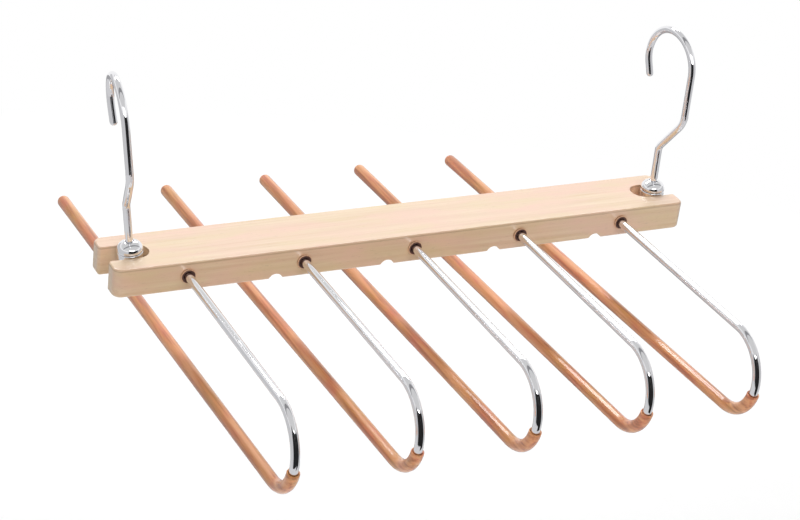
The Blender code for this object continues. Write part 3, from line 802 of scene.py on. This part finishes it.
class HANGER_OT_bushings(bpy.types.Operator):
    """Make the five bushings in the beam's front face"""

    bl_idname = "hanger.bushings"
    bl_label = "Bushings"

    def execute(self, context):
        points, faces = bushing(context.scene.hanger_arms)
        finishes = context.scene.hanger_finishes
        plastic = bushing_material("brown_bushing_finish", finishes.bushing)
        # The dark mouth material is painted shade, laid in the bore and over the flange's inner edge
        mouth = bushing_material("bushing_painted_shade", finishes.painted_mouth_shade)
        for name in ARMS:
            place = Vector(JOINTS[name + "_swing"]["pos_m"])
            moved = points + (place.x, 0.0, place.z)
            ring = dress(name + "_bushing", moved, faces, plastic, "brown_bushing", "beam")
            paint_inside(ring, mouth, place, context.scene.hanger_arms.mouth_radius + MOUTH_SHADE_OVERLAP)
        return {"FINISHED"}


class HANGER_OT_fixings(bpy.types.Operator):
    """Finish the steel collars, washers and pivot pins"""

    bl_idname = "hanger.fixings"
    bl_label = "Steel fixings"

    def execute(self, context):
        steel = steel_material(context.scene.hanger_finishes)
        hidden = [name + "_collar" for name in ARMS] + [side + "_stem_washer" for side in SIDES]
        for node in hidden:
            mesh = frame["nodes"][node].data
            mesh.materials.clear()
            mesh.materials.append(steel)
        radius = context.scene.hanger_hooks.pin_radius
        edge = radius * 0.2
        for side in SIDES:
            low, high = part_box(side + "_pivot_pin")
            place = Vector(JOINTS[side + "_hook_tilt"]["pos_m"])
            near = arc((radius - edge, low[1] + edge), edge, -90.0, 0.0, 5)
            far = arc((radius - edge, high[1] - edge), edge, 0.0, 90.0, 5)
            rings = lathe(np.concatenate((near, far)), Y_AXIS, WIRE_SIDES)
            points, faces = skin(rings, start=(0.0, low[1], 0.0), end=(0.0, high[1], 0.0))
            moved = points + (place.x, 0.0, place.z)
            dress(side + "_pivot_pin", moved, faces, steel, "plain_steel", "beam")
        return {"FINISHED"}


# Swivels and hooks


def hook_placement(side, turn):
    """Turn and place of a hook's own frame: turned about its stem, leaned with the stem, moved to its pin."""
    axis = JOINTS[side + "_hook_swivel"]["axis"]
    lean = math.atan2(-axis[0], axis[2])
    rotation = Matrix.Rotation(-lean, 3, "Y") @ Matrix.Rotation(turn, 3, "Z")
    return np.array(rotation), np.array(JOINTS[side + "_hook_tilt"]["pos_m"])


def placed(points, placement):
    """Points moved from a hook's own frame to the world."""
    rotation, place = placement
    return points @ rotation.T + place


def head_bottom(hook):
    """Bottom of the stem's peened head, on which the washer lies under the cap's spigot."""
    washer_top = hook.block_top - hook.spigot_length - SET_GAP
    return washer_top - WASHER_THICKNESS - SET_GAP - HEAD_HEIGHT


def swivel_block(hook):
    """Points and faces of a swivel block: a turned profile with a ball foot, a soft rim and a pocket."""
    radius = hook.block_radius
    edge = 0.0006
    floor = head_bottom(hook) - SET_GAP
    profile = [
        arc((0.0, 0.0), radius, -88.0, 0.0, 24),
        arc((radius - edge, hook.block_top - edge), edge, 0.0, 90.0, 6),
        np.array(((hook.pocket_radius, hook.block_top), (hook.pocket_radius, floor))),
    ]
    rings = lathe(np.concatenate(profile), Z_AXIS, ROUND_SIDES)
    return skin(rings, start=(0.0, 0.0, -radius), end=(0.0, 0.0, floor))


def swivel_cap(hook):
    """Points and faces of a cap: a closed profile turned about Z, with spigot, rim, dome and stem hole."""
    bore = hook.wire_radius + RUN_GAP
    base = hook.block_top + SET_GAP
    rim = base + hook.rim_height
    spigot = hook.pocket_radius - SET_GAP
    foot = hook.block_top - hook.spigot_length
    edge = 0.00025
    angle = np.linspace(0.0, math.acos((bore + edge) / hook.block_radius), 30)
    dome = np.stack((hook.block_radius * np.cos(angle), rim + hook.dome_height * np.sin(angle)), axis=1)
    top = dome[-1, 1]
    profile = [
        np.array(((bore, foot), (spigot, foot), (spigot, base))),
        arc((hook.block_radius - edge, base + edge), edge, -90.0, 0.0, 4),
        dome,
        arc((bore + edge, top - edge), edge, 90.0, 180.0, 5),
    ]
    return skin(lathe(np.concatenate(profile), Z_AXIS, ROUND_SIDES), closed=True)


def walk(start, heading, runs):
    """Stations of a plane path made of straight runs that each end in an arc.

    A run is (length, radius, turn). On an arc the heading h grows evenly by the turn, and the point is the
    arc's centre + radius * (sin h, -cos h), mirrored for a turn to the right.
    """
    place = np.array(start)
    stations = [place[None, :]]
    headings = [np.array([heading])]
    for length, radius, turn in runs:
        place = place + length * np.array((math.cos(heading), math.sin(heading)))
        stations.append(place[None, :])
        headings.append(np.array([heading]))
        if turn != 0.0:
            sign = math.copysign(radius, turn)
            steps = max(BEND_STEPS, round(LOOP_STEPS * abs(turn) / math.pi))
            angle = heading + np.linspace(0.0, turn, steps + 1)[1:]
            centre = place + sign * np.array((-math.sin(heading), math.cos(heading)))
            bend = centre + sign * np.stack((np.sin(angle), -np.cos(angle)), axis=1)
            stations.append(bend)
            headings.append(angle)
            place = bend[-1]
            heading += turn
    return np.concatenate(stations), np.concatenate(headings)


def hook_wire(hook):
    """Points and faces of a hook in its own frame: peened head, stem, jog, rise, crown and a round tip."""
    head = head_bottom(hook)
    foot = head + HEAD_HEIGHT
    slope = math.atan2(hook.jog, hook.shoulder_height - hook.jog_height)
    slant = math.hypot(hook.jog, hook.shoulder_height - hook.jog_height)
    lower = hook.jog_bend * math.tan(slope / 2)
    upper = hook.shoulder_bend * math.tan(slope / 2)
    runs = (
        (hook.jog_height - foot - lower, hook.jog_bend, -slope),
        (slant - lower - upper, hook.shoulder_bend, slope),
        (hook.rise - upper, hook.crown_radius, hook.crown_turn),
        (hook.tip_length, 0.0, 0.0),
    )
    flat, heading = walk((0.0, foot), math.pi / 2, runs)
    zeros = np.zeros(len(flat))
    centres = np.stack((zeros, -flat[:, 0], flat[:, 1]), axis=1)
    tangents = np.stack((zeros, -np.cos(heading), np.sin(heading)), axis=1)
    head_profile = ((HEAD_FOOT_RADIUS, 0.0), (HEAD_RADIUS, HEAD_HEIGHT / 2), (HEAD_RADIUS, HEAD_HEIGHT))
    head_rings = lathe(head_profile, Z_AXIS, WIRE_SIDES) + head * Z_AXIS
    body = sweep(centres, tangents, X_AXIS, hook.wire_radius, WIRE_SIDES)
    tip_rings, tip = round_tip(centres[-1], tangents[-1], hook.wire_radius)
    rings = np.concatenate((head_rings, body, tip_rings))
    return skin(rings, start=head * Z_AXIS, end=tip)


class HANGER_OT_swivels(bpy.types.Operator):
    """Make the two swivel blocks and their domed caps"""

    bl_idname = "hanger.swivels"
    bl_label = "Swivel blocks and caps"

    def execute(self, context):
        hook = context.scene.hanger_hooks
        chrome = chrome_material(context.scene.hanger_finishes)
        bore_radius = hook.pin_radius + RUN_GAP
        reach = 0.02
        bore = lathe(((bore_radius, -reach), (bore_radius, reach)), Y_AXIS, WIRE_SIDES)
        for side in SIDES:
            placement = hook_placement(side, 0.0)
            points, faces = swivel_block(hook)
            block = make_object(side + "_swivel_block_finish", placed(points, placement), faces)
            points, faces = skin(bore, capped=True)
            carve(block, [make_object(side + "_cross_bore_cutter", placed(points, placement), faces)])
            finish_piece(block, chrome, "bright_chrome", side + "_swivel", side + "_swivel_block")
            points, faces = swivel_cap(hook)
            moved = placed(points, placement)
            dress(side + "_swivel_cap", moved, faces, chrome, "bright_chrome", side + "_swivel")
        return {"FINISHED"}


class HANGER_OT_hooks(bpy.types.Operator):
    """Make the two chromed hook wires"""

    bl_idname = "hanger.hooks"
    bl_label = "Hooks"

    def execute(self, context):
        hook = context.scene.hanger_hooks
        chrome = chrome_material(context.scene.hanger_finishes)
        points, faces = hook_wire(hook)
        for side, turn in (("left", hook.left_turn), ("right", hook.right_turn)):
            moved = placed(points, hook_placement(side, turn))
            dress(side + "_hook_wire", moved, faces, chrome, "bright_chrome", side + "_hook")
        return {"FINISHED"}


# Studio


def direct_rays(tree):
    """One where a ray comes straight from the camera, a mirror or glass, else zero."""
    path = add_node(tree, "ShaderNodeLightPath")
    seen = calculated(tree, "MAXIMUM", path.outputs["Is Camera Ray"], path.outputs["Is Glossy Ray"])
    return calculated(tree, "MAXIMUM", seen, path.outputs["Is Transmission Ray"])


def floor_material():
    """Pale floor under the hanger that runs out into plain white further away."""
    made, tree, shader = new_material("pale_floor", (0.80, 0.80, 0.80), 0.9)
    grain = stretched_noise(tree, (40.0, 40.0, 40.0), 2.0)
    colour = mixed(tree, grain, (0.79, 0.79, 0.79), (0.81, 0.81, 0.81))
    tree.links.new(colour, shader.inputs["Base Color"])
    set_values(shader, {"Specular IOR Level": 0.1})
    seen = direct_rays(tree)
    glow = add_node(tree, "ShaderNodeEmission")
    tree.links.new(calculated(tree, "MULTIPLY", seen, 0.16), glow.inputs["Strength"])
    near = add_node(tree, "ShaderNodeAddShader")
    tree.links.new(shader.outputs["BSDF"], near.inputs[0])
    tree.links.new(glow.outputs["Emission"], near.inputs[1])
    away = distance_of(tree, object_place(tree, (1.0, 1.0, 0.0)))
    far = remap(tree, away, FLOOR_FADE_START, FLOOR_FADE_END)
    white = add_node(tree, "ShaderNodeEmission")
    mix = add_node(tree, "ShaderNodeMixShader")
    tree.links.new(calculated(tree, "MULTIPLY", seen, far), mix.inputs["Fac"])
    tree.links.new(near.outputs["Shader"], mix.inputs[1])
    tree.links.new(white.outputs["Emission"], mix.inputs[2])
    output = next(node for node in tree.nodes if node.bl_idname == "ShaderNodeOutputMaterial")
    tree.links.new(mix.outputs["Shader"], output.inputs["Surface"])
    return made


def make_world(level):
    """Even light from all round. Seen directly it is white, and mirrors see it turn grey higher up."""
    world = bpy.data.worlds.new("white_studio")
    world.use_nodes = True
    bpy.context.scene.world = world
    tree = world.node_tree
    lit = tree.nodes["Background"]
    set_values(lit, {"Color": (1.0, 1.0, 1.0, 1.0), "Strength": level})
    above = remap(tree, height_of(tree, "Generated"), 0.38, 0.62, 1.0, 0.68)
    path = add_node(tree, "ShaderNodeLightPath")
    plain = calculated(tree, "MAXIMUM", path.outputs["Is Camera Ray"], path.outputs["Is Transmission Ray"])
    seen = add_node(tree, "ShaderNodeBackground", {"Color": (1.0, 1.0, 1.0, 1.0)})
    tree.links.new(calculated(tree, "MAXIMUM", plain, above), seen.inputs["Strength"])
    mix = add_node(tree, "ShaderNodeMixShader")
    tree.links.new(direct_rays(tree), mix.inputs["Fac"])
    tree.links.new(lit.outputs["Background"], mix.inputs[1])
    tree.links.new(seen.outputs["Background"], mix.inputs[2])
    tree.links.new(mix.outputs["Shader"], tree.nodes["World Output"].inputs["Surface"])


def area_lamp(name, place, target, width, depth, power):
    """A soft rectangular lamp at a place, facing a target."""
    data = bpy.data.lights.new(name, "AREA")
    data.shape = "RECTANGLE"
    data.size = width
    data.size_y = depth
    data.energy = power
    lamp = bpy.data.objects.new(name, data)
    bpy.context.scene.collection.objects.link(lamp)
    lamp.location = place
    lamp.rotation_euler = (Vector(place) - Vector(target)).to_track_quat("Z", "Y").to_euler()
    lamp.visible_camera = False
    return lamp


def card(name, surface, colour):
    """A card from a grid of points that only mirror-like surfaces see: it gives chrome its bands."""
    rows, columns = surface.shape[:2]
    index = np.arange(rows * columns).reshape(rows, columns)
    quads = np.stack((index[:-1, :-1], index[:-1, 1:], index[1:, 1:], index[1:, :-1]), axis=-1)
    made = make_object(name, surface.reshape(-1, 3), quads.reshape(-1, 4).tolist())
    cloth, tree, shader = new_material(name + "_cloth", (0.01, 0.01, 0.01), 0.9)
    weave = stretched_noise(tree, (300.0, 300.0, 300.0), 2.0)
    cloth_colour = mixed(tree, weave, tuple(0.9 * value for value in colour), colour)
    tree.links.new(cloth_colour, shader.inputs["Emission Color"])
    set_values(shader, {"Emission Strength": 1.0, "Specular IOR Level": 0.0})
    made.data.materials.append(cloth)
    for ray in ("camera", "diffuse", "transmission", "volume_scatter", "shadow"):
        setattr(made, "visible_" + ray, False)


def curved_card(radius, left, right, low, high):
    """Grid of an upright card round the beam, by compass angle from the camera and by angle of rise.

    A point is radius * (sin c, -cos c) out from the beam's middle and radius * tan(rise) above it.
    """
    rise = np.radians(np.linspace(low, high, CARD_ROWS + 1))
    compass = np.radians(np.linspace(left, right, CARD_COLUMNS + 1) + CAMERA_AZIMUTH_DEGREES)
    height = JOINTS["arm_3_swing"]["pos_m"][2] + radius * np.tan(rise)
    up, turn = np.meshgrid(height, compass, indexing="ij")
    return np.stack((radius * np.sin(turn), -radius * np.cos(turn), up), axis=-1)


def floor_card(height, near, far, left, right):
    """Grid of a level card round the beam: a point is reach * (sin c, -cos c) out from the beam's middle."""
    compass = np.radians(np.linspace(left, right, CARD_COLUMNS + 1) + CAMERA_AZIMUTH_DEGREES)
    reach, turn = np.meshgrid(np.linspace(near, far, 5), compass, indexing="ij")
    return np.stack((reach * np.sin(turn), -reach * np.cos(turn), np.full_like(turn, height)), axis=-1)


def level_strip(height, half_depth, half_length):
    """Grid of a level strip along X over the beam."""
    across = np.linspace(-half_length, half_length, 9)
    aside = np.linspace(half_depth, -half_depth, 3)
    x, y = np.meshgrid(across, aside)
    return np.stack((x, y, np.full_like(x, height)), axis=-1)


def make_camera():
    """The camera at the photograph's angle."""
    azimuth = math.radians(CAMERA_AZIMUTH_DEGREES)
    elevation = math.radians(CAMERA_ELEVATION_DEGREES)
    roll = math.radians(CAMERA_ROLL_DEGREES)
    right = Vector((math.cos(azimuth), math.sin(azimuth), 0.0))
    level = math.cos(elevation)
    back = Vector((math.sin(azimuth) * level, -math.cos(azimuth) * level, math.sin(elevation)))
    up = back.cross(right)
    rolled_right = right * math.cos(roll) + up * math.sin(roll)
    rolled_up = up * math.cos(roll) - right * math.sin(roll)
    data = bpy.data.cameras.new("camera")
    data.sensor_width = CAMERA_SENSOR_WIDTH
    data.lens = CAMERA_FOCUS_PER_WIDTH * data.sensor_width
    data.clip_start = 0.01
    camera = bpy.data.objects.new("camera", data)
    bpy.context.scene.collection.objects.link(camera)
    turn = Matrix((rolled_right, rolled_up, back)).transposed().to_4x4()
    camera.matrix_world = Matrix.Translation(CAMERA_PLACE) @ turn
    bpy.context.scene.camera = camera


class HANGER_OT_stage(bpy.types.Operator):
    """Make the floor, the lamps, the cards and the camera"""

    bl_idname = "hanger.stage"
    bl_label = "Studio"

    def execute(self, context):
        stage = context.scene.hanger_stage
        context.scene.view_settings.view_transform = "Standard"
        make_camera()
        make_world(stage.ambient)
        corners = ((-1.0, -1.0), (1.0, -1.0), (1.0, 1.0), (-1.0, 1.0))
        points = np.array([(FLOOR_HALF * x, FLOOR_HALF * y, -stage.floor_drop) for x, y in corners])
        floor = make_object("floor", points, [[0, 1, 2, 3]])
        floor.data.materials.append(floor_material())
        area_lamp("key_lamp", (0.40, 1.42, 1.30), (0.40, 1.42, 0.0), 2.0, 0.40, stage.key_power)
        back = area_lamp("back_lamp", (0.80, 1.90, 0.87), (0.80, 0.0, 0.87), 2.4, 1.44, stage.back_power)
        back.visible_glossy = False
        area_lamp("fill_lamp", (-0.25, -1.5, 0.75), (0.0, 0.0, -0.12), 1.2, 0.8, stage.fill_power)
        card("grey_card", curved_card(0.80, -130.0, 125.0, -29.5, 18.0), (0.64, 0.64, 0.65))
        low = CARD_LIFT - stage.floor_drop
        card("floor_card", floor_card(low, 0.30, 0.80, -130.0, 125.0), (0.72, 0.72, 0.73))
        card("rear_floor_card", floor_card(low, 0.20, 1.30, 125.0, 230.0), (0.38, 0.38, 0.39))
        card("dark_card", curved_card(0.40, -20.0, 66.0, -22.7, 25.5), (0.01, 0.01, 0.011))
        card("stem_card", curved_card(0.42, 24.0, 66.0, -33.0, -22.0), (0.01, 0.01, 0.011))
        card("overhead_strip", level_strip(0.55, 0.07, 1.2), (0.30, 0.30, 0.31))
        return {"FINISHED"}


PIECES = (
    HANGER_OT_beam,
    HANGER_OT_arm_wires,
    HANGER_OT_arm_sleeves,
    HANGER_OT_bushings,
    HANGER_OT_fixings,
    HANGER_OT_swivels,
    HANGER_OT_hooks,
    HANGER_OT_stage,
)


class HANGER_PT_pieces(bpy.types.Panel):
    """Lists what makes up the hanger"""

    bl_idname = "HANGER_PT_pieces"
    bl_label = "Tiered trouser hanger"
    bl_space_type = "VIEW_3D"
    bl_region_type = "UI"
    bl_category = "Hanger"

    def draw(self, context):
        for piece in PIECES:
            self.layout.operator(piece.bl_idname)
        for group in GROUPS:
            box = self.layout.box()
            settings = getattr(context.scene, group)
            for name in settings.bl_rna.properties.keys():
                if name not in ("rna_type", "name"):
                    box.prop(settings, name)


GROUPS = {
    "hanger_beam": HangerBeamSizes,
    "hanger_arms": HangerArmSizes,
    "hanger_hooks": HangerHookSizes,
    "hanger_finishes": HangerFinishes,
    "hanger_stage": HangerStageSettings,
}


def register():
    """Register the settings, the operators and the panel."""
    for name, group in GROUPS.items():
        bpy.utils.register_class(group)
        setattr(bpy.types.Scene, name, bpy.props.PointerProperty(type=group))
    for piece in PIECES:
        bpy.utils.register_class(piece)
    bpy.utils.register_class(HANGER_PT_pieces)


def unregister():
    """Take everything off again, last first."""
    bpy.utils.unregister_class(HANGER_PT_pieces)
    for piece in reversed(PIECES):
        bpy.utils.unregister_class(piece)
    for name, group in reversed(GROUPS.items()):
        delattr(bpy.types.Scene, name)
        bpy.utils.unregister_class(group)


def main():
    """Make every piece and the studio."""
    register()
    for piece in PIECES:
        category, name = piece.bl_idname.split(".")
        getattr(getattr(bpy.ops, category), name)()


if __name__ == "__main__":
    main()
